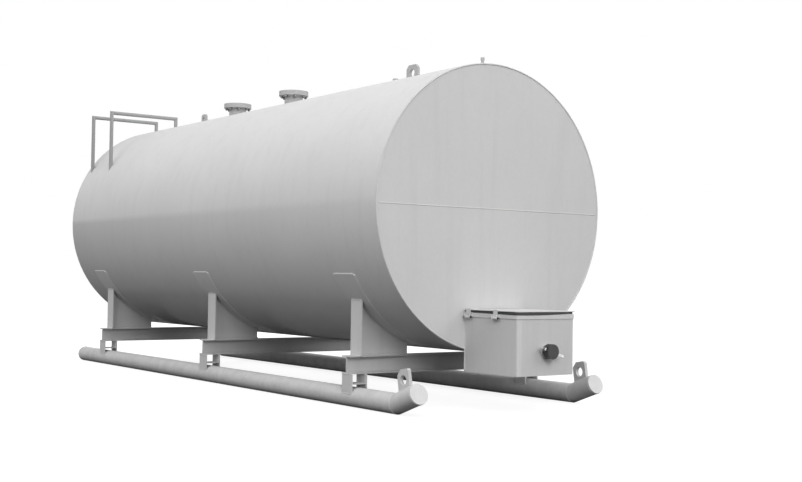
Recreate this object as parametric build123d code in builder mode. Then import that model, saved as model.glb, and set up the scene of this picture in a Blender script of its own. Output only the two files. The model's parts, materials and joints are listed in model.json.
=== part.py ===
"""Horizontal cylindrical storage tank on a pipe skid, with a fill box on its front head.

Millimetres, +Z up, ground at z = 0. +X points to the head that carries the fill box.
The origin is on the ground, under the middle of the overall length.
"""
import os
from math import asin, cos, degrees, radians, sin, sqrt

from build123d import *

os.makedirs("parts", exist_ok=True)

# Tank
tank_diameter = 2438
tank_length = 6490
shell_wall = 6.5
head_plate = 8

# Skid runners: pipes that turn up at the front, measured from the tank's sides and heads
runner_diameter = 168.3
runner_wall = 7.1
runner_inset = 259
runner_overhang = 160
nose_setback = 25
nose_length = 288
nose_angle = 20
end_plate = 8

# Runner stubs: short rolled sections on their side, straddling a runner under each crossbeam
stub_seat = 32
stub_height = 161
stub_length = 146
stub_forward = 15
stub_flange = 10
stub_web = 8

# Crossbeams: rolled sections laid across under the tank
beam_depth = 150
beam_width = 130
beam_flange = 10
beam_web = 8

# Saddles: on each side a wear plate rolled to the shell, a cheek along the tank and a web across it
belly_gap = 35
wear_plate = 8
wear_width = 290
wear_wrap = 124
wear_margin = 25
cheek_setback = 276
cheek_width = 160
cheek_plate = 12
web_plate = 12
web_inner = 414
first_saddle = 658
last_saddle = 562

# Pull eyes on the runner noses
eye_plate = 30
eye_width = 150
eye_along = 151
eye_clear = 67
eye_head = 88
eye_hole = 80
eye_lean = 10
eye_front_chamfer = 16
eye_rear_chamfer = 46

# Top nozzles with blind covers, measured forward from the tank's middle
nozzle_bore = 178
nozzle_wall = 8
nozzle_height = 131
flange_ledge = 59
flange_plate = 25
cover_plate = 24
nozzle_forward = [-83, -1338]

# Lifting lugs on the crown, the front one measured from the front head and the rear one from the rear
lug_plate = 25
lug_from_front = 1182
lug_from_rear = 1065
lug_width = [172, 112]
lug_height = [154, 126]
lug_hole = [76, 56]

# Capped pipe stubs on the crown, measured from the front head
vent_setback = [182, 1455, 5327]
vent_diameter = [34, 60, 48]
vent_height = [82, 58, 50]
vent_cap_height = 26
vent_cap_lip = 4

# Handrails at the rear, each in a plane across the tank
rail_diameter = 42.2
rail_rise = 88
rail_side_setback = 189
rail_inner = 204
rail_from_rear = {"front": 694, "rear": 128}

# Fill box on the front head
box_depth = 650
box_width = 608
box_drop = 140
box_height = 484
box_wall = 5
box_bend = 20
rim_band = 40
rim_plate = 5
rim_ledge = 28
gasket_inset = 5
gasket_width = 18
gasket_height = 15.5
lid_plate = 6
lid_overhang = 7.5
lid_rest_gap = 0.5
lid_head_gap = 12

# Lid hinges on the box's right side
hinge_from_head = [62, 400]
hinge_strap = 50
hinge_strap_plate = 6
hinge_reach = 95
hinge_drop = 56
hinge_offset = 9
knuckle_radius = 11
pin_radius = 6
pin_play = 0.4
ear_plate = 6
ear_gap = 2.5
ear_rise = 18

# Fill pipe and its quick coupling on the box's front wall
fill_rise = 54
fill_diameter = 88.9
fill_wall = 5.5
collar_step = 8.3
collar_length = 14
spigot_step = 1.2
spigot_length = 62
groove_depth = 4.7
groove_length = 12
groove_from_tip = 12
cap_play = 1
cap_wall = 12.3
cap_mouth_gap = 10
cap_seat_gap = 14
cap_end = 10
cap_flats = 16
lever_from_mouth = 29
lever_offset = 11
lever_roll = 20
lever_splay = 60
lever_length = 58
lever_width = 22
lever_arm = 9
lever_hub = 9
lever_cam = 13
lever_cam_gap = 3
lever_window_gap = 1
lever_pin = 4
lever_play = 0.4
lever_ear = 8
lever_ear_gap = 1.5
lever_ear_radius = 11

# Values that follow from those above
tank_radius = tank_diameter / 2
runner_radius = runner_diameter / 2
runner_y = tank_radius - runner_inset
stub_grip = sqrt(runner_radius**2 - stub_seat**2) - stub_flange
stub_bottom = runner_radius + stub_seat
beam_bottom = stub_bottom + stub_height
beam_top = beam_bottom + beam_depth
beam_length = 2 * (runner_y + stub_grip + stub_flange)
wear_radius = tank_radius + wear_plate
axis_height = beam_top + belly_gap + tank_radius
crown = axis_height + tank_radius
tank_bottom = axis_height - tank_radius
spigot_radius = fill_diameter / 2 + spigot_step
cap_bore = spigot_radius + cap_play
cap_radius = cap_bore + cap_wall
cap_start = collar_length + cap_mouth_gap
cap_length = spigot_length + cap_seat_gap + cap_end - cap_start
front_reach = box_depth + cap_start + cap_length
front_head = (tank_length + runner_overhang + end_plate - front_reach) / 2
rear_head = front_head - tank_length
box_front = front_head + box_depth
box_bottom = tank_bottom - box_drop
box_top = box_bottom + box_height
rim_top = box_top + rim_plate
lid_bottom = rim_top + gasket_height + lid_rest_gap
lid_top = lid_bottom + lid_plate
band_face = box_width / 2 + rim_plate
lid_edge = band_face + lid_overhang
fill_height = tank_bottom + fill_rise
sides = {"right": -1, "left": 1}
saddle_x = {
    "front": front_head - first_saddle,
    "middle": (front_head - first_saddle + rear_head + last_saddle) / 2,
    "rear": rear_head + last_saddle,
}


def save(piece, name):
    """Label a piece and write it to its own file."""
    piece.label = name
    export_step(piece, f"parts/{name}.step")


def rise(y):
    """Height of the shell's outside above its axis at a distance y from the middle."""
    return sqrt(tank_radius**2 - y**2)


# The shell is rolled plate, bored under each nozzle
with BuildPart() as tank_shell:
    with BuildSketch(Plane.YZ.offset(rear_head + head_plate)):
        with Locations((0, axis_height)):
            Circle(tank_radius)
            Circle(tank_radius - shell_wall, mode=Mode.SUBTRACT)
    extrude(amount=tank_length - 2 * head_plate)
    with BuildSketch(Plane.XY.offset(axis_height)):
        with Locations(*[(front_head - tank_length / 2 + forward, 0) for forward in nozzle_forward]):
            Circle(nozzle_bore / 2)
    extrude(amount=tank_diameter, mode=Mode.SUBTRACT)
save(tank_shell.part, "tank_shell")

# Flat heads close both ends flush with the shell; the front one is bored for the fill pipe
with BuildPart() as front_head_plate:
    with BuildSketch(Plane.YZ.offset(front_head - head_plate)):
        with Locations((0, axis_height)):
            Circle(tank_radius)
        with Locations((0, fill_height)):
            Circle(fill_diameter / 2 - fill_wall, mode=Mode.SUBTRACT)
    extrude(amount=head_plate)
save(front_head_plate.part, "front_head")

with BuildPart() as rear_head_plate:
    with BuildSketch(Plane.YZ.offset(rear_head)):
        with Locations((0, axis_height)):
            Circle(tank_radius)
    extrude(amount=head_plate)
save(rear_head_plate.part, "rear_head")

# Nozzles stand on the crown, each with a bolting flange under a blind cover
neck_radius = nozzle_bore / 2 + nozzle_wall
flange_radius = neck_radius + flange_ledge
nozzle_x = [front_head - tank_length / 2 + forward for forward in nozzle_forward]
nozzle_top = crown + nozzle_height
with BuildPart() as nozzles:
    for x in nozzle_x:
        with BuildSketch(Plane.XY.offset(axis_height)):
            with Locations((x, 0)):
                Circle(neck_radius)
        extrude(amount=nozzle_top - axis_height)
        with BuildSketch(Plane.XY.offset(nozzle_top - flange_plate)):
            with Locations((x, 0)):
                Circle(flange_radius)
        extrude(amount=flange_plate)
        with BuildSketch(Plane.XY.offset(axis_height)):
            with Locations((x, 0)):
                Circle(nozzle_bore / 2)
        extrude(amount=nozzle_top - axis_height, mode=Mode.SUBTRACT)
    with Locations((0, 0, axis_height)):
        Cylinder(tank_radius, 2 * tank_length, rotation=(0, 90, 0), mode=Mode.SUBTRACT)
save(nozzles.part, "nozzles")

with BuildPart() as nozzle_covers:
    with BuildSketch(Plane.XY.offset(nozzle_top)):
        with Locations(*[(x, 0) for x in nozzle_x]):
            Circle(flange_radius)
    extrude(amount=cover_plate)
save(nozzle_covers.part, "nozzle_covers")

# Lifting lugs: eye plates in the tank's long plane, welded to the crown
lug_x = [front_head - lug_from_front, rear_head + lug_from_rear]
with BuildPart() as lifting_lugs:
    for x, width, height, hole in zip(lug_x, lug_width, lug_height, lug_hole):
        with BuildSketch(Plane.XZ.offset(-lug_plate / 2)):
            with Locations((x, crown + height / 2)):
                Rectangle(width, height)
            chamfer(vertices().group_by(Axis.Y)[-1], width / 5)
            with Locations((x, crown + height / 2)):
                Circle(hole / 2, mode=Mode.SUBTRACT)
        extrude(amount=lug_plate)
save(lifting_lugs.part, "lifting_lugs")

# Small pipe stubs with hexagon caps on the crown
with BuildPart() as vent_stubs:
    for setback, diameter, height in zip(vent_setback, vent_diameter, vent_height):
        with BuildSketch(Plane.XY.offset(crown)):
            with Locations((front_head - setback, 0)):
                Circle(diameter / 2 - vent_cap_lip)
        extrude(amount=height - vent_cap_height)
        with BuildSketch(Plane.XY.offset(crown + height - vent_cap_height)):
            with Locations((front_head - setback, 0)):
                RegularPolygon(diameter / 2, 6)
        extrude(amount=vent_cap_height)
save(vent_stubs.part, "vent_stubs")

# Handrails rise from the shell's right flank and come back down beside the crown
rail_outer = tank_radius - rail_side_setback
rail_top = crown + rail_rise
for place, from_rear in rail_from_rear.items():
    x = rear_head + from_rear
    with BuildPart() as rail:
        with BuildLine():
            Polyline(
                (x, -rail_outer, axis_height + rise(rail_outer) - rail_diameter),
                (x, -rail_outer, rail_top),
                (x, -rail_inner, rail_top),
                (x, -rail_inner, axis_height + rise(rail_inner) - rail_diameter),
            )
        with BuildSketch(Plane.XY.offset(axis_height + rise(rail_outer) - rail_diameter)):
            with Locations((x, -rail_outer)):
                Circle(rail_diameter / 2)
        sweep(transition=Transition.RIGHT)
        with Locations((x, 0, axis_height)):
            Cylinder(tank_radius, 4 * rail_diameter, rotation=(0, 90, 0), mode=Mode.SUBTRACT)
    save(rail.part, f"handrail_{place}")

for place, x in saddle_x.items():
    # Crossbeam, an H section
    with BuildPart() as beam:
        with BuildSketch(Plane.XZ.offset(-beam_length / 2)):
            with Locations((x, beam_bottom + beam_depth / 2)):
                Rectangle(beam_width, beam_depth)
                with GridLocations(beam_width, 0, 2, 1):
                    Rectangle(beam_width - beam_web, beam_depth - 2 * beam_flange, mode=Mode.SUBTRACT)
        extrude(amount=beam_length)
    save(beam.part, f"crossbeam_{place}")

    # Wear plates, rolled to the shell on both flanks
    wear_start = degrees(asin((web_inner - wear_margin) / wear_radius))
    with BuildPart() as wear_plates:
        with BuildSketch(Plane.YZ.offset(x - wear_width / 2)):
            for start in (-90 - wear_wrap / 2, -90 + wear_start):
                with BuildLine():
                    inner = CenterArc((0, axis_height), tank_radius, start, wear_wrap / 2 - wear_start)
                    outer = CenterArc((0, axis_height), wear_radius, start, wear_wrap / 2 - wear_start)
                    Line(inner @ 0, outer @ 0)
                    Line(inner @ 1, outer @ 1)
                make_face()
        extrude(amount=wear_width)
    save(wear_plates.part, f"wear_plates_{place}")

    # Cheeks, standing on the crossbeam along the tank
    cheek_middle = tank_radius - cheek_setback - cheek_plate / 2
    with BuildPart() as cheeks:
        with BuildSketch(Plane.XY.offset(beam_top)):
            with Locations((x, 0)):
                with GridLocations(0, 2 * cheek_middle, 1, 2):
                    Rectangle(cheek_width, cheek_plate)
        extrude(amount=axis_height - beam_top)
        with Locations((x, 0, axis_height)):
            Cylinder(wear_radius, 2 * cheek_width, rotation=(0, 90, 0), mode=Mode.SUBTRACT)
    save(cheeks.part, f"saddle_cheeks_{place}")

    # Webs, across the tank from the cheeks inwards, cut to the curve of the wear plates
    cheek_inner = cheek_middle - cheek_plate / 2
    with BuildPart() as webs:
        with BuildSketch(Plane.YZ.offset(x - web_plate / 2)):
            with Locations((0, (beam_top + axis_height) / 2)):
                with GridLocations(web_inner + cheek_inner, 0, 2, 1):
                    Rectangle(cheek_inner - web_inner, axis_height - beam_top)
            with Locations((0, axis_height)):
                Circle(wear_radius, mode=Mode.SUBTRACT)
        extrude(amount=web_plate)
    save(webs.part, f"saddle_webs_{place}")

    # Runner stubs: the flanges are coped to the pipe and the web lies level above it
    with BuildPart() as stubs:
        with BuildSketch(Plane.YZ.offset(x + stub_forward - stub_length / 2)):
            with Locations((0, stub_bottom + stub_height / 2)):
                with GridLocations(2 * runner_y, 0, 2, 1):
                    Rectangle(2 * (stub_grip + stub_flange), stub_height)
                with GridLocations(2 * runner_y, stub_height, 2, 2):
                    Rectangle(2 * stub_grip, stub_height - stub_web, mode=Mode.SUBTRACT)
            with Locations((-runner_y, runner_radius), (runner_y, runner_radius)):
                Circle(runner_radius, mode=Mode.SUBTRACT)
        extrude(amount=stub_length)
    save(stubs.part, f"runner_stubs_{place}")

# Runners: pipe with a mitred nose, plates on both ends and a pull eye on the nose
runner_rear = rear_head - runner_overhang
nose_x = front_head - nose_setback
nose_run = cos(radians(nose_angle))
nose_rise = sin(radians(nose_angle))
for side, sign in sides.items():
    with BuildPart() as runner:
        with BuildLine():
            Polyline(
                (runner_rear, sign * runner_y, runner_radius),
                (nose_x, sign * runner_y, runner_radius),
                (nose_x + nose_length * nose_run, sign * runner_y, runner_radius + nose_length * nose_rise),
            )
        with BuildSketch(Plane.YZ.offset(runner_rear)):
            with Locations((sign * runner_y, runner_radius)):
                Circle(runner_radius)
                Circle(runner_radius - runner_wall, mode=Mode.SUBTRACT)
        sweep(transition=Transition.RIGHT)
    save(runner.part, f"runner_{side}")

    nose_plane = Plane(
        (nose_x + nose_length * nose_run, sign * runner_y, runner_radius + nose_length * nose_rise),
        x_dir=(0, 1, 0),
        z_dir=(nose_run, 0, nose_rise),
    )
    with BuildPart() as end_plates:
        with BuildSketch(nose_plane):
            Circle(runner_radius)
        extrude(amount=end_plate)
        with BuildSketch(Plane.YZ.offset(runner_rear)):
            with Locations((sign * runner_y, runner_radius)):
                Circle(runner_radius)
        extrude(amount=-end_plate)
    save(end_plates.part, f"runner_end_plates_{side}")

# Pull eyes are welded on the noses and lean back a little
eye_rise = runner_radius + eye_clear
eye_x = nose_x + eye_along * nose_run - eye_rise * nose_rise
eye_z = runner_radius + eye_along * nose_rise + eye_rise * nose_run
with BuildPart() as pull_eyes:
    for sign in sides.values():
        eye_plane = Plane(
            (eye_x, sign * runner_y, eye_z),
            x_dir=(cos(radians(eye_lean)), 0, sin(radians(eye_lean))),
            z_dir=(0, -1, 0),
        )
        with BuildSketch(eye_plane.offset(-eye_plate / 2)):
            with Locations((0, (eye_head - eye_rise) / 2)):
                Rectangle(eye_width, eye_rise + eye_head)
            chamfer(vertices().group_by(Axis.Y)[-1].sort_by(Axis.X)[-1], eye_front_chamfer)
            chamfer(vertices().group_by(Axis.Y)[-1].sort_by(Axis.X)[0], eye_rear_chamfer)
            Circle(eye_hole / 2, mode=Mode.SUBTRACT)
        extrude(amount=eye_plate)
        nose_foot = (nose_x, sign * runner_y, runner_radius)
        with BuildSketch(Plane(nose_foot, x_dir=(0, 1, 0), z_dir=(nose_run, 0, nose_rise))):
            Circle(runner_radius)
        extrude(amount=nose_length, mode=Mode.SUBTRACT)
save(pull_eyes.part, "pull_eyes")

# Fill box: folded plate with bent front corners, open at the top
with BuildPart() as fill_box:
    with BuildSketch(Plane.XY.offset(box_bottom)):
        with Locations((front_head + box_depth / 2, 0)):
            Rectangle(box_depth, box_width)
        fillet(vertices().group_by(Axis.X)[-1], box_bend)
    extrude(amount=box_height)
    with BuildSketch(Plane.XY.offset(box_bottom + box_wall)):
        with Locations((front_head + box_depth / 2, 0)):
            Rectangle(box_depth - 2 * box_wall, box_width - 2 * box_wall)
        fillet(vertices().group_by(Axis.X)[-1], box_bend - box_wall)
    extrude(amount=box_height, mode=Mode.SUBTRACT)
    with BuildSketch(Plane.YZ.offset(front_head)):
        with Locations((0, fill_height)):
            Circle(fill_diameter / 2)
    extrude(amount=box_depth, mode=Mode.SUBTRACT)
save(fill_box.part, "fill_box")

# Rim frame: an angle round the outside of the walls, with its ledge turned in over them
with BuildPart() as box_rim:
    with BuildSketch(Plane.XY.offset(rim_top - rim_band)):
        with Locations((front_head + (box_depth + rim_plate) / 2, 0)):
            Rectangle(box_depth + rim_plate, box_width + 2 * rim_plate)
        fillet(vertices().group_by(Axis.X)[-1], box_bend + rim_plate)
    extrude(amount=rim_band)
    with BuildSketch(Plane.XY.offset(rim_top - rim_band)):
        with Locations((front_head + box_depth / 2, 0)):
            Rectangle(box_depth, box_width)
        fillet(vertices().group_by(Axis.X)[-1], box_bend)
    extrude(amount=rim_band - rim_plate, mode=Mode.SUBTRACT)
    with BuildSketch(Plane.XY.offset(box_top)):
        with Locations((front_head + box_depth / 2, 0)):
            Rectangle(box_depth - 2 * rim_ledge, box_width - 2 * rim_ledge)
    extrude(amount=rim_plate, mode=Mode.SUBTRACT)
save(box_rim.part, "box_rim")

with BuildPart() as box_gasket:
    with BuildSketch(Plane.XY.offset(rim_top)):
        with Locations((front_head + box_depth / 2, 0)):
            Rectangle(box_depth - 2 * gasket_inset, box_width - 2 * gasket_inset)
        fillet(vertices().group_by(Axis.X)[-1], box_bend - gasket_inset)
        with Locations((front_head + box_depth / 2, 0)):
            Rectangle(
                box_depth - 2 * (gasket_inset + gasket_width),
                box_width - 2 * (gasket_inset + gasket_width),
                mode=Mode.SUBTRACT,
            )
    extrude(amount=gasket_height)
save(box_gasket.part, "box_gasket")

# Lid with two straps that wrap over its right edge down to the hinge knuckles
pivot_y = -(lid_edge + hinge_offset)
pivot_z = lid_bottom - hinge_drop
with BuildPart() as box_lid:
    with BuildSketch(Plane.XY.offset(lid_bottom)):
        lid_length = box_depth + rim_plate + lid_overhang - lid_head_gap
        with Locations((front_head + lid_head_gap + lid_length / 2, 0)):
            Rectangle(lid_length, 2 * lid_edge)
        fillet(vertices().group_by(Axis.X)[-1], box_bend + rim_plate + lid_overhang)
    extrude(amount=lid_plate)
    for from_head in hinge_from_head:
        with BuildSketch(Plane.YZ.offset(front_head + from_head - hinge_strap / 2)):
            with Locations((-lid_edge + hinge_reach, lid_top)):
                Rectangle(hinge_reach + hinge_strap_plate, hinge_strap_plate, align=(Align.MAX, Align.MIN))
            with Locations((-lid_edge, pivot_z)):
                Rectangle(hinge_strap_plate, lid_top - pivot_z, align=(Align.MAX, Align.MIN))
            with Locations((pivot_y, pivot_z)):
                Circle(knuckle_radius)
                Circle(pin_radius + pin_play, mode=Mode.SUBTRACT)
        extrude(amount=hinge_strap)
save(box_lid.part, "box_lid")

# Hinge brackets: two ears on the rim band with the pin through them
ear_reach = knuckle_radius - pivot_y - band_face
with BuildPart() as hinge_brackets:
    for from_head in hinge_from_head:
        x = front_head + from_head
        ear_middle = hinge_strap / 2 + ear_gap + ear_plate / 2
        for ear_x in (x - ear_middle, x + ear_middle):
            with BuildSketch(Plane.YZ.offset(ear_x - ear_plate / 2)):
                with Locations((-band_face, pivot_z - knuckle_radius)):
                    Rectangle(ear_reach, 2 * knuckle_radius + ear_rise, align=(Align.MAX, Align.MIN))
                chamfer(vertices().group_by(Axis.X)[0], knuckle_radius / 2)
            extrude(amount=ear_plate)
        pin_length = 2 * ear_middle + ear_plate
        with BuildSketch(Plane.YZ.offset(x - pin_length / 2)):
            with Locations((pivot_y, pivot_z)):
                Circle(pin_radius)
        extrude(amount=pin_length)
save(hinge_brackets.part, "hinge_brackets")

# Fill pipe through the box to the front head, with the coupling adapter on its end: collar,
# spigot and the groove that the cams work over
pipe_bore = fill_diameter / 2 - fill_wall
groove_end = box_front + spigot_length - groove_from_tip
with BuildPart() as fill_pipe:
    with BuildSketch(Plane.YZ.offset(front_head)):
        with Locations((0, fill_height)):
            Circle(fill_diameter / 2)
    extrude(amount=box_depth)
    with BuildSketch(Plane.YZ.offset(box_front)):
        with Locations((0, fill_height)):
            Circle(spigot_radius + collar_step)
    extrude(amount=collar_length)
    with BuildSketch(Plane.YZ.offset(box_front)):
        with Locations((0, fill_height)):
            Circle(spigot_radius)
    extrude(amount=spigot_length)
    with BuildSketch(Plane.YZ.offset(groove_end)):
        with Locations((0, fill_height)):
            Circle(spigot_radius)
            Circle(spigot_radius - groove_depth, mode=Mode.SUBTRACT)
    extrude(amount=-groove_length, mode=Mode.SUBTRACT)
    with BuildSketch(Plane.YZ.offset(front_head)):
        with Locations((0, fill_height)):
            Circle(pipe_bore)
    extrude(amount=box_depth + spigot_length, mode=Mode.SUBTRACT)
save(fill_pipe.part, "fill_pipe")

# Cap: a cup with flats for grip, and on each side a window and two ears for a cam lever
cap_mouth = box_front + cap_start
lever_x = cap_mouth + lever_from_mouth
lever_y = cap_radius + lever_offset
cam_reach = lever_offset + cap_wall + cap_play - lever_cam_gap
window_start = lever_x - lever_cam - lever_window_gap
window_end = lever_x + cam_reach + lever_window_gap
window_height = lever_width + 2 * lever_ear_gap
ear_top = window_height / 2 + lever_ear
roll_cos = cos(radians(lever_roll))
roll_sin = sin(radians(lever_roll))
lever_plane = Plane((0, 0, fill_height), x_dir=(1, 0, 0), z_dir=(0, roll_sin, roll_cos))
with BuildPart() as coupling_cap:
    with BuildSketch(Plane.YZ.offset(cap_mouth)):
        with Locations((0, fill_height)):
            RegularPolygon(cap_radius, cap_flats, major_radius=False)
    extrude(amount=cap_length)
    with BuildSketch(lever_plane.offset(-ear_top)):
        with Locations((lever_x, 0)):
            Rectangle(2 * lever_ear_radius, 2 * (lever_y + lever_ear_radius))
        chamfer(vertices(), lever_ear_radius / 2)
    extrude(amount=2 * ear_top)
    with BuildSketch(lever_plane.offset(-window_height / 2)):
        with Locations(((window_start + window_end) / 2, 0)):
            Rectangle(window_end - window_start, 2 * (lever_y + lever_ear_radius))
    extrude(amount=window_height, mode=Mode.SUBTRACT)
    with BuildSketch(lever_plane.offset(-window_height / 2)):
        with Locations((lever_x, lever_y), (lever_x, -lever_y)):
            Circle(lever_pin)
    extrude(amount=window_height)
    with BuildSketch(Plane.YZ.offset(cap_mouth)):
        with Locations((0, fill_height)):
            Circle(cap_bore)
    extrude(amount=cap_length - cap_end, mode=Mode.SUBTRACT)
save(coupling_cap.part, "coupling_cap")

# Cam levers, half open, each with an eccentric lobe that faces the groove
for side, sign in sides.items():
    lever_tip = (
        lever_x + lever_length * cos(radians(lever_splay)),
        sign * (lever_y + lever_length * sin(radians(lever_splay))),
    )
    with BuildPart() as lever:
        with BuildSketch(lever_plane.offset(-lever_width / 2)):
            with Locations((lever_x, sign * lever_y)):
                Circle(lever_hub)
            with Locations((lever_x, sign * (lever_y - cam_reach + lever_cam))):
                Circle(lever_cam)
            with BuildLine():
                Line((lever_x, sign * lever_y), lever_tip)
            trace(line_width=lever_arm)
            with Locations((lever_x, sign * lever_y)):
                Circle(lever_pin + lever_play, mode=Mode.SUBTRACT)
        extrude(amount=lever_width)
    save(lever.part, f"cam_lever_{side}")
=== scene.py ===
"""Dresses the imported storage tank: paint, weld beads, bolts, light and camera.

Metres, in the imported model's frame: +X to the head with the fill box, +Z up, ground at z = 0.
"""
import json
from math import asin, cos, pi, radians, sin, sqrt, tan

import bmesh
import bpy
from mathutils import Matrix, Vector, noise


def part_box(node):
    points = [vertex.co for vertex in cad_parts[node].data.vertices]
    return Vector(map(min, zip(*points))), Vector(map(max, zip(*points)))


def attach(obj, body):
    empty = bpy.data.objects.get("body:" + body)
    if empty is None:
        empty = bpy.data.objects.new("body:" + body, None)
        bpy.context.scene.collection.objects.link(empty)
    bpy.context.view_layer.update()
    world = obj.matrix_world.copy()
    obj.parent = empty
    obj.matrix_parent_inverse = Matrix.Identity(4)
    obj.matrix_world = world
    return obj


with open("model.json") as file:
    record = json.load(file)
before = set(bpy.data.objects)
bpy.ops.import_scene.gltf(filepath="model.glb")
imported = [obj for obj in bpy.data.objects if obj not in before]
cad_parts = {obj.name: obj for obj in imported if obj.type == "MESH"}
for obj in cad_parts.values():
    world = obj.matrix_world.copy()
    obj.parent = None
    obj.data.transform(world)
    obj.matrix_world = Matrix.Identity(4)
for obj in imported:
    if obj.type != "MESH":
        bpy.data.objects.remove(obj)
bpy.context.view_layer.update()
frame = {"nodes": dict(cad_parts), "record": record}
nodes = frame["nodes"]


def low(name):
    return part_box(name)[0]


def high(name):
    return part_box(name)[1]


# Tank: places come off the CAD nodes' boxes where a box gives them, the others are the part's own values
head_x = high("front_head").x
rear_x = low("rear_head").x
tank_radius = high("front_head").y
axis_z = (low("front_head").z + high("front_head").z) / 2
crown_z = axis_z + tank_radius

# Crown: nozzles, lifting lugs, capped stubs and handrails
nozzle_x = [-0.367, -1.622]
neck_radius = 0.097
flange_low = 3.00615
lug_x = [1.779, -2.464]
lug_half = [0.086, 0.056]
lug_plate_half = 0.0125
vent_x = [2.779, 1.506, -2.366]
vent_radius = [0.013, 0.026, 0.020]
rail_x = [-2.835, -3.401]
rail_y = [-1.03, -0.204]
rail_radius = 0.0211

# Saddles and crossbeams
saddle_x = {
    place: (low(f"crossbeam_{place}").x + high(f"crossbeam_{place}").x) / 2
    for place in ("front", "middle", "rear")
}
beam_low = low("crossbeam_front").z
beam_high = high("crossbeam_front").z
beam_half = 0.065
cheek_y = high("saddle_cheeks_front").y
cheek_plate = 0.012
cheek_half = (high("saddle_cheeks_front").x - low("saddle_cheeks_front").x) / 2
web_inner = 0.414
web_half = 0.006
wear_radius = tank_radius + 0.008
wear_half = (high("wear_plates_front").x - low("wear_plates_front").x) / 2
wear_top = radians(62)
wear_low = asin(0.389 / wear_radius)

# Runners, their stubs, noses, end plates and pull eyes
runner_radius = 0.08415
runner_y = 0.96
rear_plate_x = rear_x - 0.152
nose_x = head_x - 0.025
nose_angle = radians(20)
nose_length = 0.288
end_plate = 0.008
stub_forward = 0.015
stub_half = 0.073
stub_reach = 0.07783
stub_flange = 0.010
eye_plate_half = 0.015
eye_from, eye_to = 0.063, 0.215

# Fill box, its hinges and the collar of the fill pipe
box_front = head_x + 0.65
box_half = 0.304
box_low = low("fill_box").z
rim_low = low("box_rim").z
hinge_x = [head_x + 0.062, head_x + 0.400]
pivot_y = -0.3255
pivot_z = 0.77115
ear_face = 0.0335
fill_z = 0.51615
collar_radius = 0.0535


# Shader helpers
def new_material(name):
    material = bpy.data.materials.new(name)
    material.use_nodes = True
    tree = material.node_tree
    return material, tree, tree.nodes["Principled BSDF"]


def add(tree, kind, **sockets):
    """Add a node, and set or link its sockets by name or number."""
    made = tree.nodes.new(kind)
    for key, value in sockets.items():
        socket = made.inputs[int(key[1:])] if key[0] == "_" else made.inputs[key]
        if isinstance(value, bpy.types.NodeSocket):
            tree.links.new(value, socket)
        else:
            socket.default_value = value
    return made


def math(tree, operation, a, b=0.0):
    made = add(tree, "ShaderNodeMath", _0=a, _1=b)
    made.operation = operation
    return made.outputs[0]


def spread(tree, value, from_low, from_high, to_low, to_high):
    """The value's range from_low to from_high stretched to to_low to to_high, and held at both ends."""
    made = add(tree, "ShaderNodeMapRange", _0=value, _1=from_low, _2=from_high, _3=to_low, _4=to_high)
    return made.outputs[0]


def grain(tree, place, scale, detail=4.0, roughness=0.55, stretch=(1, 1, 1)):
    """Noise at so many cells a metre, stretched along the axes."""
    mapped = add(tree, "ShaderNodeMapping", Vector=place, Scale=stretch)
    made = add(
        tree, "ShaderNodeTexNoise", Vector=mapped.outputs[0],
        Scale=scale, Detail=detail, Roughness=roughness,
    )
    return made.outputs[0]


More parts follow.
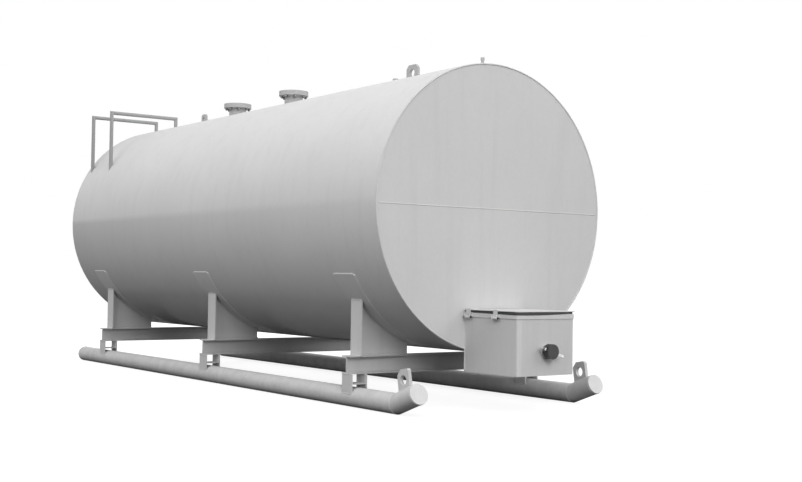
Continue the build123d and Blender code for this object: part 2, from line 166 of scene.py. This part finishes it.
def paint(name, tone, gloss, streak=0.06, splash_and_ground_shade=0.0, wear=0.0, waves=0.004, edge=0.003, corner_shade=0.0,
          upright=False, lower_shade=False, fold_highlight=False):
    """Semi-gloss grey enamel over steel: mottled, rain-streaked, and where asked darkened in corners by
    painted shade from occlusion, splashed low down above a painted shade band along the ground, and chipped
    at the edges. Upright rounds the standing edges only, lower shade paints shade on the lower half of the
    shell, more towards the rear, and fold highlight paints a highlight on the fold of the box's front.
    """
    # Where and how deep the painted shade on the shell's lower half lies
    lower_shade_edge = axis_z - 0.015, axis_z + 0.05
    lower_shade_rear, lower_shade_front = 0.19, 0.05
    splash_top = 0.42
    # Height of the painted shade band along the ground
    ground_shade_band = 0.008, 0.032
    # Where the painted highlight on the fold of the box's front lies
    highlight_edge = -box_half + 0.040, -box_half + 0.050
    material, tree, shader = new_material(name)
    place = tree.nodes.new("ShaderNodeTexCoord").outputs["Object"]
    axes = add(tree, "ShaderNodeSeparateXYZ", Vector=place)
    cloudy = grain(tree, place, 1.1, 5.0, 0.6)
    fine = grain(tree, place, 38.0, 3.0, 0.6)
    rain = grain(tree, place, 1.0, 5.0, 0.65, (9.0, 9.0, 0.55))
    value = math(tree, "MULTIPLY", spread(tree, cloudy, 0.3, 0.7, 0.975, 1.018), tone)
    value = math(tree, "MULTIPLY", value, spread(tree, fine, 0.3, 0.7, 0.985, 1.012))
    value = math(tree, "MULTIPLY", value, spread(tree, rain, 0.5, 0.78, 1.0, 1.0 - streak))
    # Painted shade: the lower half of the shell is darker, more towards the rear, for the drop in light below
    # the equator
    if lower_shade:
        below = spread(tree, axes.outputs["Z"], *lower_shade_edge, 1.0, 0.0)
        shade_depth = spread(tree, axes.outputs["X"], rear_x, head_x, lower_shade_rear, lower_shade_front)
        shade_amount = math(tree, "MULTIPLY", below, shade_depth)
        value = math(tree, "MULTIPLY", value, math(tree, "SUBTRACT", 1.0, shade_amount))
    # Painted shade: darker where ambient occlusion finds corners, creases and gaps between parts
    if corner_shade:
        corner = add(tree, "ShaderNodeAmbientOcclusion", Distance=0.05)
        corner.samples = 6
        value = math(tree, "MULTIPLY", value, spread(tree, corner.outputs["AO"], 0.3, 0.75, 1.0 - corner_shade, 1.0))
    if splash_and_ground_shade:
        mud = grain(tree, place, 7.0, 6.0, 0.7)
        near_ground = spread(tree, axes.outputs["Z"], 0.0, splash_top, 1.0, 0.0)
        amount = math(tree, "MULTIPLY", near_ground, spread(tree, mud, 0.42, 0.68, 0.0, 1.0))
        value = math(tree, "MULTIPLY", value, spread(tree, amount, 0.0, 1.0, 1.0, 1.0 - splash_and_ground_shade))
        # Painted shade: the bottom 8 to 32 mm darken to 0.45 where the skid meets the ground
        value = math(tree, "MULTIPLY", value, spread(tree, axes.outputs["Z"], *ground_shade_band, 0.45, 1.0))
    rounded = add(tree, "ShaderNodeBevel", Radius=edge)
    rounded.samples = 6
    normal = rounded.outputs[0]
    true_normal = tree.nodes.new("ShaderNodeNewGeometry").outputs["True Normal"]
    # Painted highlight: the front face is 9 % lighter within 40 to 50 mm of its -Y edge
    if fold_highlight:
        facing = add(tree, "ShaderNodeSeparateXYZ", Vector=true_normal).outputs["X"]
        highlight_mask = spread(tree, axes.outputs["Y"], *highlight_edge, 1.0, 0.0)
        highlight_mask = math(tree, "MULTIPLY", highlight_mask, math(tree, "GREATER_THAN", facing, 0.7))
        value = math(tree, "MULTIPLY", value, spread(tree, highlight_mask, 0.0, 1.0, 1.0, 1.09))
    if upright:
        level = add(tree, "ShaderNodeVectorMath", _0=normal, _1=(1.0, 1.0, 0.0))
        level.operation = "MULTIPLY"
        lie = math(tree, "ABSOLUTE", add(tree, "ShaderNodeSeparateXYZ", Vector=true_normal).outputs["Z"])
        chosen = add(tree, "ShaderNodeMix")
        chosen.data_type = "VECTOR"
        tree.links.new(math(tree, "GREATER_THAN", lie, 0.5), chosen.inputs[0])
        tree.links.new(level.outputs[0], chosen.inputs[4])
        tree.links.new(true_normal, chosen.inputs[5])
        unit = add(tree, "ShaderNodeVectorMath", _0=chosen.outputs[1])
        unit.operation = "NORMALIZE"
        normal = unit.outputs[0]
    if wear:
        turned = add(tree, "ShaderNodeVectorMath", _0=normal, _1=true_normal)
        turned.operation = "DOT_PRODUCT"
        at_edge = spread(tree, turned.outputs["Value"], 0.97, 0.86, 0.0, 1.0)
        chips = spread(tree, grain(tree, place, 26.0, 6.0, 0.7), 0.5, 0.6, 0.0, 1.0)
        bare = math(tree, "MULTIPLY", at_edge, chips)
        value = math(tree, "MULTIPLY", value, spread(tree, bare, 0.0, 1.0, 1.0, 1.0 - wear))
    tree.links.new(value, shader.inputs["Base Color"])
    rough = spread(tree, cloudy, 0.3, 0.7, gloss - 0.03, gloss + 0.05)
    rough = math(tree, "ADD", rough, spread(tree, rain, 0.5, 0.78, 0.0, 0.06))
    tree.links.new(rough, shader.inputs["Roughness"])
    shader.inputs["Specular IOR Level"].default_value = 0.0
    shader.inputs["Coat Weight"].default_value = 0.06
    shader.inputs["Coat Roughness"].default_value = 0.08
    shader.inputs["Coat IOR"].default_value = 1.5
    plate = add(
        tree, "ShaderNodeBump", Strength=1.0, Distance=waves,
        Height=grain(tree, place, 1.3, 2.0, 0.4), Normal=normal,
    )
    peel = add(
        tree, "ShaderNodeBump", Strength=0.5, Distance=0.0003,
        Height=grain(tree, place, 160.0, 2.0, 0.5), Normal=plate.outputs[0],
    )
    tree.links.new(peel.outputs[0], shader.inputs["Normal"])
    tree.links.new(plate.outputs[0], shader.inputs["Coat Normal"])
    return material


def metal(name, tone, gloss, brushed=(1, 1, 1)):
    """Bare or plated metal with a directional grain and dull spots."""
    material, tree, shader = new_material(name)
    place = tree.nodes.new("ShaderNodeTexCoord").outputs["Object"]
    cloudy = grain(tree, place, 22.0, 5.0, 0.6)
    lines = grain(tree, place, 160.0, 3.0, 0.6, brushed)
    value = math(tree, "MULTIPLY", spread(tree, cloudy, 0.3, 0.7, 0.85, 1.08), tone)
    value = math(tree, "MULTIPLY", value, spread(tree, lines, 0.3, 0.7, 0.95, 1.03))
    tree.links.new(value, shader.inputs["Base Color"])
    tree.links.new(spread(tree, cloudy, 0.3, 0.7, gloss + 0.10, gloss - 0.05), shader.inputs["Roughness"])
    shader.inputs["Metallic"].default_value = 1.0
    rounded = add(tree, "ShaderNodeBevel", Radius=0.001)
    bump = add(
        tree, "ShaderNodeBump", Strength=0.6, Distance=0.0002,
        Height=math(tree, "ADD", lines, cloudy), Normal=rounded.outputs[0],
    )
    tree.links.new(bump.outputs[0], shader.inputs["Normal"])
    return material


def moulded(name, tone, gloss, texture, depth):
    """Black rubber or moulded plastic: fine leathery texture, dusty in patches."""
    material, tree, shader = new_material(name)
    place = tree.nodes.new("ShaderNodeTexCoord").outputs["Object"]
    dust = grain(tree, place, 30.0, 6.0, 0.65)
    value = spread(tree, dust, 0.45, 0.75, tone, tone * 1.9)
    tree.links.new(value, shader.inputs["Base Color"])
    tree.links.new(spread(tree, dust, 0.3, 0.7, gloss, gloss + 0.2), shader.inputs["Roughness"])
    rounded = add(tree, "ShaderNodeBevel", Radius=0.0015)
    bump = add(
        tree, "ShaderNodeBump", Strength=0.5, Distance=depth,
        Height=grain(tree, place, texture, 3.0, 0.5), Normal=rounded.outputs[0],
    )
    tree.links.new(bump.outputs[0], shader.inputs["Normal"])
    return material


# One material for each slot of the record
finish = {
    # The shell carries painted shade on its lower half
    "shell_paint": paint("shell_paint", 0.64, 0.34, streak=0.05, lower_shade=True),
    "head_paint": paint("head_paint", 0.60, 0.40, streak=0.05, waves=0.002),
    "box_paint": paint("box_paint", 0.62, 0.40, streak=0.07, waves=0.001, wear=0.15),
    "skid_paint": paint(
        "skid_paint", 0.60, 0.42, streak=0.08, splash_and_ground_shade=0.16, waves=0.001, wear=0.25, corner_shade=0.15,
    ),
    "pipe_paint": paint("pipe_paint", 0.52, 0.40, waves=0.0005, edge=0.001, wear=0.3),
    "fitting_paint": paint("fitting_paint", 0.42, 0.40, streak=0.08, waves=0.0005, edge=0.002, wear=0.2),
    "hinge_steel": metal("hinge_steel", 0.72, 0.5, (1, 6, 6)),
    "coupling_metal": metal("coupling_metal", 0.36, 0.50, (6, 6, 1)),
    "gasket_rubber": moulded("gasket_rubber", 0.020, 0.55, 420.0, 0.0003),
    "cap_plastic": moulded("cap_plastic", 0.022, 0.38, 900.0, 0.00015),
}
# Copies of the same paint at other tones on single nodes: the crossbeams darker as painted shade under the
# tank, the runners' end plates lighter as painted light, the handrails darker, and the fill box with a
# painted highlight
# The fill box: rounded standing edges and a painted highlight on the fold of its front
highlit_box_paint = paint(
    "highlit_box_paint", 0.58, 0.40, streak=0.07, waves=0.001, edge=0.020, upright=True, fold_highlight=True,
)
shaded_beam_paint = paint(
    "shaded_beam_paint", 0.54, 0.42, streak=0.08, splash_and_ground_shade=0.16, waves=0.001, wear=0.25, corner_shade=0.15,
)
lit_cap_paint = paint("lit_cap_paint", 0.74, 0.42, streak=0.05, splash_and_ground_shade=0.10, waves=0.001, edge=0.002)
rail_paint = paint("rail_paint", 0.34, 0.42, streak=0.08, waves=0.0005, edge=0.002, wear=0.2)
shades = {
    "fill_box": highlit_box_paint,
    "handrail_front": rail_paint,
    "handrail_rear": rail_paint,
    "runner_end_plates_left": lit_cap_paint,
    "runner_end_plates_right": lit_cap_paint,
    "crossbeam_front": shaded_beam_paint,
    "crossbeam_middle": shaded_beam_paint,
    "crossbeam_rear": shaded_beam_paint,
}
# For the added pieces
pad_weld = paint("pad_weld", 0.60, 0.5, streak=0.05, waves=0.0015, edge=0.001)
weld_paint = paint("weld_paint", 0.60, 0.42, streak=0.05, waves=0.0015, edge=0.001)
# Dark tone: painted shade, so the bolts under the nozzle flanges stay as dark as the shade they sit in
shaded_bolt_steel = metal("shaded_bolt_steel", 0.22, 0.45)
dark_bolt = metal("dark_bolt", 0.06, 0.45)

for part in frame["record"]["subparts"]:
    node = nodes[part["node"]]
    node.data.materials.clear()
    node.data.materials.append(shades.get(part["node"], finish[part["material_slot"]]))


# Piece helpers: every added piece is one mesh made of beads or bolts, fixed to the tank
def piece(name, shape, material, smooth=True):
    mesh = bpy.data.meshes.new(name)
    for face in shape.faces:
        face.smooth = smooth
    shape.to_mesh(mesh)
    shape.free()
    mesh.materials.append(material)
    made = bpy.data.objects.new(name, mesh)
    bpy.context.scene.collection.objects.link(made)
    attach(made, "tank")


def join(shape, first, second, turn=0):
    """Faces between two rings of points, the second turned by so many points."""
    count = len(first)
    for k in range(count):
        n = (k + 1) % count
        shape.faces.new((first[k], first[n], second[(n + turn) % count], second[(k + turn) % count]))


def skin(shape, rings):
    """Faces from ring to ring, and one on each end."""
    for first, second in zip(rings, rings[1:]):
        join(shape, first, second)
    shape.faces.new(list(reversed(rings[0])))
    shape.faces.new(rings[-1])


def bead(shape, line, size, closed=False):
    """Sweep a slightly uneven weld bead along a line of points."""
    sides = 6
    rings = []
    count = len(line)
    for i, point in enumerate(line):
        before = line[i - 1] if closed or i else point
        after = line[(i + 1) % count] if closed or i < count - 1 else point
        along = (after - before).normalized()
        across = along.orthogonal() if not rings else (across - across.dot(along) * along)
        across.normalize()
        other = along.cross(across)
        swell = 1 + 0.16 * noise.noise(point * 60)
        ends = 0.45 if not closed and i in (0, count - 1) else 1.0
        rings.append([
            shape.verts.new(point + size * swell * ends * (across * cos(t) + other * sin(t)))
            for t in (2 * pi * k / sides for k in range(sides))
        ])
    if not closed:
        skin(shape, rings)
        return
    for first, second in zip(rings, rings[1:]):
        join(shape, first, second)
    last, start = rings[-1], rings[0]
    join(shape, last, start, min(range(sides), key=lambda k: (last[0].co - start[k].co).length))


def fillet(shape, root, outer, foot):
    """A fillet weld: its root line, and the two lines on which its convex face ends."""
    steps = 4
    rings = []
    for i, corner in enumerate(root):
        reach_a, reach_b = outer[i] - corner, foot[i] - corner
        ripple = 1 + 0.10 * noise.noise(corner * 50)
        ring = [shape.verts.new(corner)]
        for k in range(steps + 1):
            t = k / steps
            bulge = 1 + 0.16 * sin(pi * t) * ripple
            ring.append(shape.verts.new(corner + (reach_a * (1 - t) + reach_b * t) * bulge))
        rings.append(ring)
    skin(shape, rings)


def straight(a, b, step=0.03):
    """Points from a to b, about a step apart."""
    a, b = Vector(a), Vector(b)
    count = max(2, int((b - a).length / step) + 1)
    return [a.lerp(b, i / (count - 1)) for i in range(count)]


def round_line(at, count, start=0.0, end=2 * pi, closed=True):
    """Points of a curve given by angle."""
    steps = count if closed else count - 1
    return [Vector(at(start + (end - start) * i / steps)) for i in range(count)]


def shell_z(y):
    """Height of the shell's upper skin at this distance from its middle."""
    return axis_z + sqrt(tank_radius**2 - y**2)


def foot_line(x, y, radius, count):
    """Where an upright pipe at x, y meets the shell."""
    return round_line(
        lambda t: (x + radius * cos(t), y + radius * sin(t), shell_z(y + radius * sin(t))), count,
    )


def turned(shape, foot, up, radius, height, sides, profile, turn=0.0):
    """A solid of stacked rings on foot along up: the profile gives each ring's share of radius and height."""
    up = Vector(up).normalized()
    side = up.orthogonal().normalized()
    other = up.cross(side)
    skin(shape, [
        [
            shape.verts.new(
                Vector(foot) + up * height * rise + radius * reach * (side * cos(t) + other * sin(t))
            )
            for t in (turn + 2 * pi * k / sides for k in range(sides))
        ]
        for reach, rise in profile
    ])


def hexagon(shape, foot, up, across, height, turn):
    """A hexagon head with a chamfered top."""
    turned(shape, foot, up, across / sqrt(3), height, 6, ((1.0, 0.0), (1.0, 0.8), (0.88, 1.0)), turn)


def stud(shape, foot, up, radius, height, sides):
    """A round stud end or washer with a chamfered rim."""
    turned(shape, foot, up, radius, height, sides, ((1.0, 0.0), (1.0, 0.7), (0.8, 1.0)))


# Bead radii, from the heavy welds down to the finest
heavy, medium, light, thin, fine = 0.006, 0.005, 0.004, 0.003, 0.0025

# Weld beads round the rims of both heads, and the butt seam across each head
shape = bmesh.new()
rim_radius = tank_radius - 1.2 * heavy
seam_reach = tank_radius - 2.5 * heavy
seam_z = axis_z - 0.009
seam_sink = 0.0025
for x, out in ((head_x, 1), (rear_x, -1)):
    bead(
        shape, round_line(lambda t: (x, rim_radius * cos(t), axis_z + rim_radius * sin(t)), 420),
        heavy, closed=True,
    )
    seam_x = x - out * seam_sink
    bead(shape, straight((seam_x, -seam_reach, seam_z), (seam_x, seam_reach, seam_z)), heavy)
piece("weld_heads", shape, weld_paint)

# Fillet beads of everything that stands on the crown
shape = bmesh.new()
for x in nozzle_x:
    bead(shape, foot_line(x, 0.0, neck_radius, 60), 0.007, closed=True)
    bead(
        shape, round_line(lambda t: (x + neck_radius * cos(t), neck_radius * sin(t), flange_low), 60),
        medium, closed=True,
    )
for x, half in zip(lug_x, lug_half):
    corners = [
        (x + along * half, across * lug_plate_half, crown_z)
        for along, across in ((-1, -1), (1, -1), (1, 1), (-1, 1))
    ]
    for k in range(4):
        bead(shape, straight(corners[k], corners[(k + 1) % 4], 0.012), heavy)
for x, radius in zip(vent_x, vent_radius):
    bead(shape, foot_line(x, 0.0, radius, 24), light, closed=True)
for x in rail_x:
    for y in rail_y:
        bead(shape, foot_line(x, y, rail_radius, 28), medium, closed=True)
piece("weld_crown", shape, weld_paint)

# Saddles: the wear plates' edges, and the cheeks and webs on them and on the beams
def belly(x, sign, t, radius):
    """A point of the tank's lower side, by its angle from straight below."""
    return Vector((x, sign * radius * sin(t), axis_z - radius * cos(t)))


def pad_z(y):
    """Height of the wear plates' skin at this distance from the tank's middle."""
    return axis_z - sqrt(wear_radius**2 - y**2)


shape = bmesh.new()
pads = bmesh.new()
leg = 0.009
side_leg = 2.6 * leg
plate_angles = [wear_low + (wear_top - wear_low) * i / 45 for i in range(46)]
for x in saddle_x.values():
    for sign in (-1, 1):
        for way in (-1, 1):
            edge = x + way * wear_half
            fillet(
                pads,
                [belly(edge, sign, t, tank_radius) for t in plate_angles],
                [belly(edge, sign, t, wear_radius) for t in plate_angles],
                [belly(edge + way * side_leg, sign, t, tank_radius) for t in plate_angles],
            )
        for t, past in ((wear_low, -1), (wear_top, 1)):
            run = [x - wear_half + 2 * wear_half * i / 10 for i in range(11)]
            fillet(
                shape,
                [belly(u, sign, t, tank_radius) for u in run],
                [belly(u, sign, t, wear_radius) for u in run],
                [belly(u, sign, t + past * leg / tank_radius, tank_radius) for u in run],
            )
        outer = sign * cheek_y
        inner = sign * (cheek_y - cheek_plate)
        for y in (outer, inner):
            bead(shape, straight((x - cheek_half, y, pad_z(y)), (x + cheek_half, y, pad_z(y))), heavy)
            bead(shape, straight((x - cheek_half, y, beam_high), (x + cheek_half, y, beam_high)), medium)
        for edge in (x - web_half, x + web_half):
            bead(shape, round_line(
                lambda t: belly(edge, sign, t, wear_radius),
                24, asin(web_inner / wear_radius), asin(abs(inner) / wear_radius), closed=False,
            ), heavy)
            bead(shape, straight((edge, sign * web_inner, beam_high), (edge, inner, beam_high)), medium)
            bead(shape, straight((edge, inner, beam_high), (edge, inner, pad_z(inner))), medium)
piece("weld_saddles", shape, weld_paint)
piece("weld_pads", pads, pad_weld)

# Skid: stubs to beams and runners, mitred noses, end plates and pull eyes
shape = bmesh.new()
nose = Vector((cos(nose_angle), 0, sin(nose_angle)))
lift = Vector((-sin(nose_angle), 0, cos(nose_angle)))


def seat(reach):
    """Height of the pipe's skin at this distance from its middle plane."""
    return runner_radius + sqrt(runner_radius**2 - reach**2)


for x in saddle_x.values():
    for sign in (-1, 1):
        first, last = x + stub_forward - stub_half, x + stub_forward + stub_half
        for side in (-1, 1):
            for reach in (stub_reach, stub_reach - stub_flange):
                y = sign * runner_y + side * reach
                bead(shape, straight((first, y, seat(reach)), (last, y, seat(reach)), 0.015), 0.0045)
                bead(shape, straight((first, y, beam_low), (x + beam_half, y, beam_low), 0.015), light)
# The beads round the runners stay open where the pipe meets the ground
open_from, open_to = radians(-65), radians(245)
mitre = tan(nose_angle / 2)
for sign in (-1, 1):
    y = sign * runner_y
    bead(shape, round_line(lambda t: (
        nose_x - mitre * runner_radius * sin(t),
        y + runner_radius * cos(t),
        runner_radius + runner_radius * sin(t),
    ), 56, open_from, open_to, closed=False), fine)
    bead(shape, round_line(lambda t: (
        rear_plate_x, y + runner_radius * cos(t), runner_radius + runner_radius * sin(t),
    ), 56, open_from, open_to, closed=False), fine)
    bend = Vector((nose_x, y, runner_radius))
    tip = bend + nose * (nose_length - end_plate)
    bead(shape, round_line(
        lambda t: tip + runner_radius * (Vector((0, 1, 0)) * cos(t) + lift * sin(t)), 64,
    ), fine, closed=True)
    foot = bend + lift * sqrt(runner_radius**2 - eye_plate_half**2)
    for side in (-1, 1):
        aside = Vector((0, side * eye_plate_half, 0))
        bead(shape, straight(foot + nose * eye_from + aside, foot + nose * eye_to + aside, 0.012), heavy)
piece("weld_skid", shape, weld_paint)

# Fill box: beads to the head on three sides, and one round the fill pipe's collar
shape = bmesh.new()
foot_z = box_low + 0.004
for sign in (-1, 1):
    y = sign * box_half
    bead(shape, straight((head_x, y, foot_z), (head_x, y, rim_low), 0.015), heavy)
bead(shape, straight((head_x, -box_half, foot_z), (head_x, box_half, foot_z), 0.02), 0.0055)
bead(
    shape, round_line(lambda t: (box_front, collar_radius * cos(t), fill_z + collar_radius * sin(t)), 40),
    thin, closed=True,
)
piece("weld_box", shape, weld_paint)

# Gasket lip: rubber squeezed out under the lid along its right side and its front, deepest near their corner
shape = bmesh.new()
lip_top = high("box_gasket").z - 0.0005
gasket_depth = high("box_gasket").z - low("box_gasket").z
lip_start = head_x + 0.10
lip_front, lip_right, lip_left = high("box_rim").x, low("box_rim").y, high("box_rim").y
lip_round = 0.026
lip_thick = 0.003
lip_tuck = 0.002
side_run = lip_front - lip_round - lip_start
front_run = lip_left - lip_right
deepest, deepest_at, fades_in = 0.009, 0.22, 0.62


def front_sag(share):
    """How far the lip hangs below the gasket at this share of the front."""
    return deepest * cos(pi / 2 * min(1.0, abs(share - deepest_at) / fades_in))


stations = [(lip_start + side_run * k / 12, lip_right, 0.0, 0.002 + 0.006 * k / 12) for k in range(12)]
stations += [
    (lip_front - lip_round * (1 - sin(turn)), lip_right + lip_round * (1 - cos(turn)), turn, 0.008)
    for turn in (pi / 2 * k / 6 for k in range(7))
]
stations += [(lip_front, lip_right + front_run * k / 20, pi / 2, front_sag(k / 20)) for k in range(2, 18)]
rings = []
for x, y, turn, sag in stations:
    out = Vector((sin(turn), -cos(turn), 0))
    foot = lip_top - gasket_depth - max(sag, 0.0004)
    rings.append([
        shape.verts.new(Vector((x, y, z)) + out * reach)
        for reach, z in (
            (-lip_tuck, lip_top), (lip_thick, lip_top), (lip_thick, foot + 0.0015),
            (lip_thick * 0.5, foot), (-lip_tuck, foot),
        )
    ])
skin(shape, rings)
piece("gasket_lip", shape, finish["gasket_rubber"])

# Bolts under the nozzle flanges: washer, nut and stud end
shape = bmesh.new()
bolt_circle = 0.129
washer, nut = 0.003, 0.016
down = (0, 0, -1)
for x in nozzle_x:
    for k in range(8):
        t = (k + 0.5) * pi / 4
        bolt_x, bolt_y = x + bolt_circle * cos(t), bolt_circle * sin(t)
        stud(shape, (bolt_x, bolt_y, flange_low), down, 0.0185, washer, 16)
        hexagon(shape, (bolt_x, bolt_y, flange_low - washer), down, 0.030, nut, t)
        stud(shape, (bolt_x, bolt_y, flange_low - washer - nut), down, 0.0095, 0.008, 12)
piece("flange_bolts", shape, shaded_bolt_steel, smooth=False)

# Hinge bolts: a head and a nut on the outer faces of each pair of ears
shape = bmesh.new()
washer = 0.002
for x in hinge_x:
    for way in (1, -1):
        face = x + way * ear_face
        stud(shape, (face, pivot_y, pivot_z), (way, 0, 0), 0.0105, washer, 16)
        hexagon(shape, (face + way * washer, pivot_y, pivot_z), (way, 0, 0), 0.018, 0.0075, 0.3)
piece("hinge_bolts", shape, dark_bolt, smooth=False)


# Floor: white to the camera and in reflections, grey for the light that it throws back
def studio_rays(tree):
    """1 for the rays that see the studio itself, 0 for those that gather light."""
    path = tree.nodes.new("ShaderNodeLightPath")
    seen = math(tree, "MAXIMUM", path.outputs["Is Camera Ray"], path.outputs["Is Glossy Ray"])
    return math(tree, "MAXIMUM", seen, path.outputs["Is Transmission Ray"])


floor_half = 60
glow_near, glow_far = 4.0, 9.0
floor_shape = bmesh.new()
bmesh.ops.create_grid(floor_shape, x_segments=8, y_segments=8, size=floor_half)
floor_mesh = bpy.data.meshes.new("floor")
floor_shape.to_mesh(floor_mesh)
floor_shape.free()
floor = bpy.data.objects.new("floor", floor_mesh)
bpy.context.scene.collection.objects.link(floor)
floor_paint = bpy.data.materials.new("floor")
floor_paint.use_nodes = True
tree = floor_paint.node_tree
tree.nodes.remove(tree.nodes["Principled BSDF"])
grey = add(tree, "ShaderNodeBsdfDiffuse", Color=(0.05, 0.05, 0.05, 1))
pale = add(tree, "ShaderNodeBsdfDiffuse", Color=(0.22, 0.22, 0.22, 1))
across = add(tree, "ShaderNodeVectorMath", _0=tree.nodes.new("ShaderNodeTexCoord").outputs["Object"])
across.operation = "LENGTH"
fade = spread(tree, across.outputs["Value"], glow_near, glow_far, 0.86, 1.0)
glow = add(tree, "ShaderNodeEmission", Color=(1, 1, 1, 1), Strength=fade)
white = add(tree, "ShaderNodeAddShader", _0=pale.outputs[0], _1=glow.outputs[0])
floor_mix = add(tree, "ShaderNodeMixShader", _0=studio_rays(tree), _1=grey.outputs[0], _2=white.outputs[0])
tree.links.new(floor_mix.outputs[0], tree.nodes["Material Output"].inputs["Surface"])
floor_mesh.materials.append(floor_paint)

# Sky: soft light from above, white to the camera and in reflections
world = bpy.data.worlds.new("studio")
bpy.context.scene.world = world
world.use_nodes = True
tree = world.node_tree
sky = tree.nodes["Background"]
sky.inputs["Strength"].default_value = 0.24
sky.inputs["Color"].default_value = (1, 1, 1, 1)
white_sky = add(tree, "ShaderNodeBackground", Color=(1, 1, 1, 1), Strength=1.0)
sky_mix = add(tree, "ShaderNodeMixShader", _0=studio_rays(tree), _1=sky.outputs[0], _2=white_sky.outputs[0])
tree.links.new(sky_mix.outputs[0], tree.nodes["World Output"].inputs["Surface"])


def lamp(name, place, aim, width, height, strength, mirrored=True):
    """A soft box that faces its aim. Its strength is the brightness of its face.

    One that is not mirrored leaves no gleam in the paint.
    """
    data = bpy.data.lights.new(name, "AREA")
    data.shape = "RECTANGLE"
    data.size = width
    data.size_y = height
    data.energy = strength * pi * width * height
    made = bpy.data.objects.new(name, data)
    bpy.context.scene.collection.objects.link(made)
    back = (Vector(place) - Vector(aim)).normalized()
    side = Vector((0, 0, 1)).cross(back).normalized()
    turned_to = Matrix((side, back.cross(side), back)).transposed().to_4x4()
    made.matrix_world = Matrix.Translation(Vector(place)) @ turned_to
    made.visible_glossy = mirrored


# Name, place, aim, width, height, strength
lamps = [
    ("front", (18.0, -5.0, 9.0), (2.96, 0.0, 1.2), 8.0, 8.0, 6.8),
    ("front_high", (11.0, -1.0, 14.0), (2.96, 0.0, 1.2), 9.0, 9.0, 1.0),
    ("key", (15.5, 9.5, 10.0), (2.96, 0.0, 1.2), 7.0, 7.0, 3.6),
    ("low", (20.0, -2.0, 2.2), (2.96, 0.0, 0.6), 10.0, 3.0, 3.1),
    ("side", (1.0, -12.0, 11.0), (0.0, 0.0, 2.0), 14.0, 6.0, 3.7),
    ("side_low", (8.0, -14.0, 1.3), (1.0, 0.0, 0.6), 10.0, 2.2, 2.9),
    ("top", (0.0, -2.0, 11.0), (0.0, -1.99, 0.0), 14.0, 10.0, 0.8),
    ("far", (2.0, 13.0, 7.0), (0.0, 0.0, 1.0), 14.0, 6.0, 3.1),
    ("horizon", (-11.0, -7.5, 3.9), (0.0, -1.2, 3.9), 12.0, 3.0, 2.3, False),
    ("back", (-13.0, 10.0, 9.0), (-2.0, 0.0, 1.4), 8.0, 8.0, 8.0, False),
]
for row in lamps:
    lamp(*row)

# Camera, fitted to the photograph
yaw, pitch, roll = 2.5129, -0.03024, 0.01478
forward = Vector((cos(pitch) * cos(yaw), cos(pitch) * sin(yaw), -sin(pitch)))
right = forward.cross(Vector((0, 0, 1))).normalized()
up = right.cross(forward)
right, up = cos(roll) * right + sin(roll) * up, -sin(roll) * right + cos(roll) * up
camera_data = bpy.data.cameras.new("camera")
camera_data.sensor_width = 36.0
camera_data.sensor_fit = "HORIZONTAL"
camera_data.lens = 53.404
camera_data.clip_end = 200.0
camera = bpy.data.objects.new("camera", camera_data)
bpy.context.scene.collection.objects.link(camera)
camera_turn = Matrix((right, up, -forward)).transposed().to_4x4()
camera.matrix_world = Matrix.Translation((10.5937, -6.5191, 1.08957)) @ camera_turn
bpy.context.scene.camera = camera
bpy.context.scene.view_settings.view_transform = "Standard"
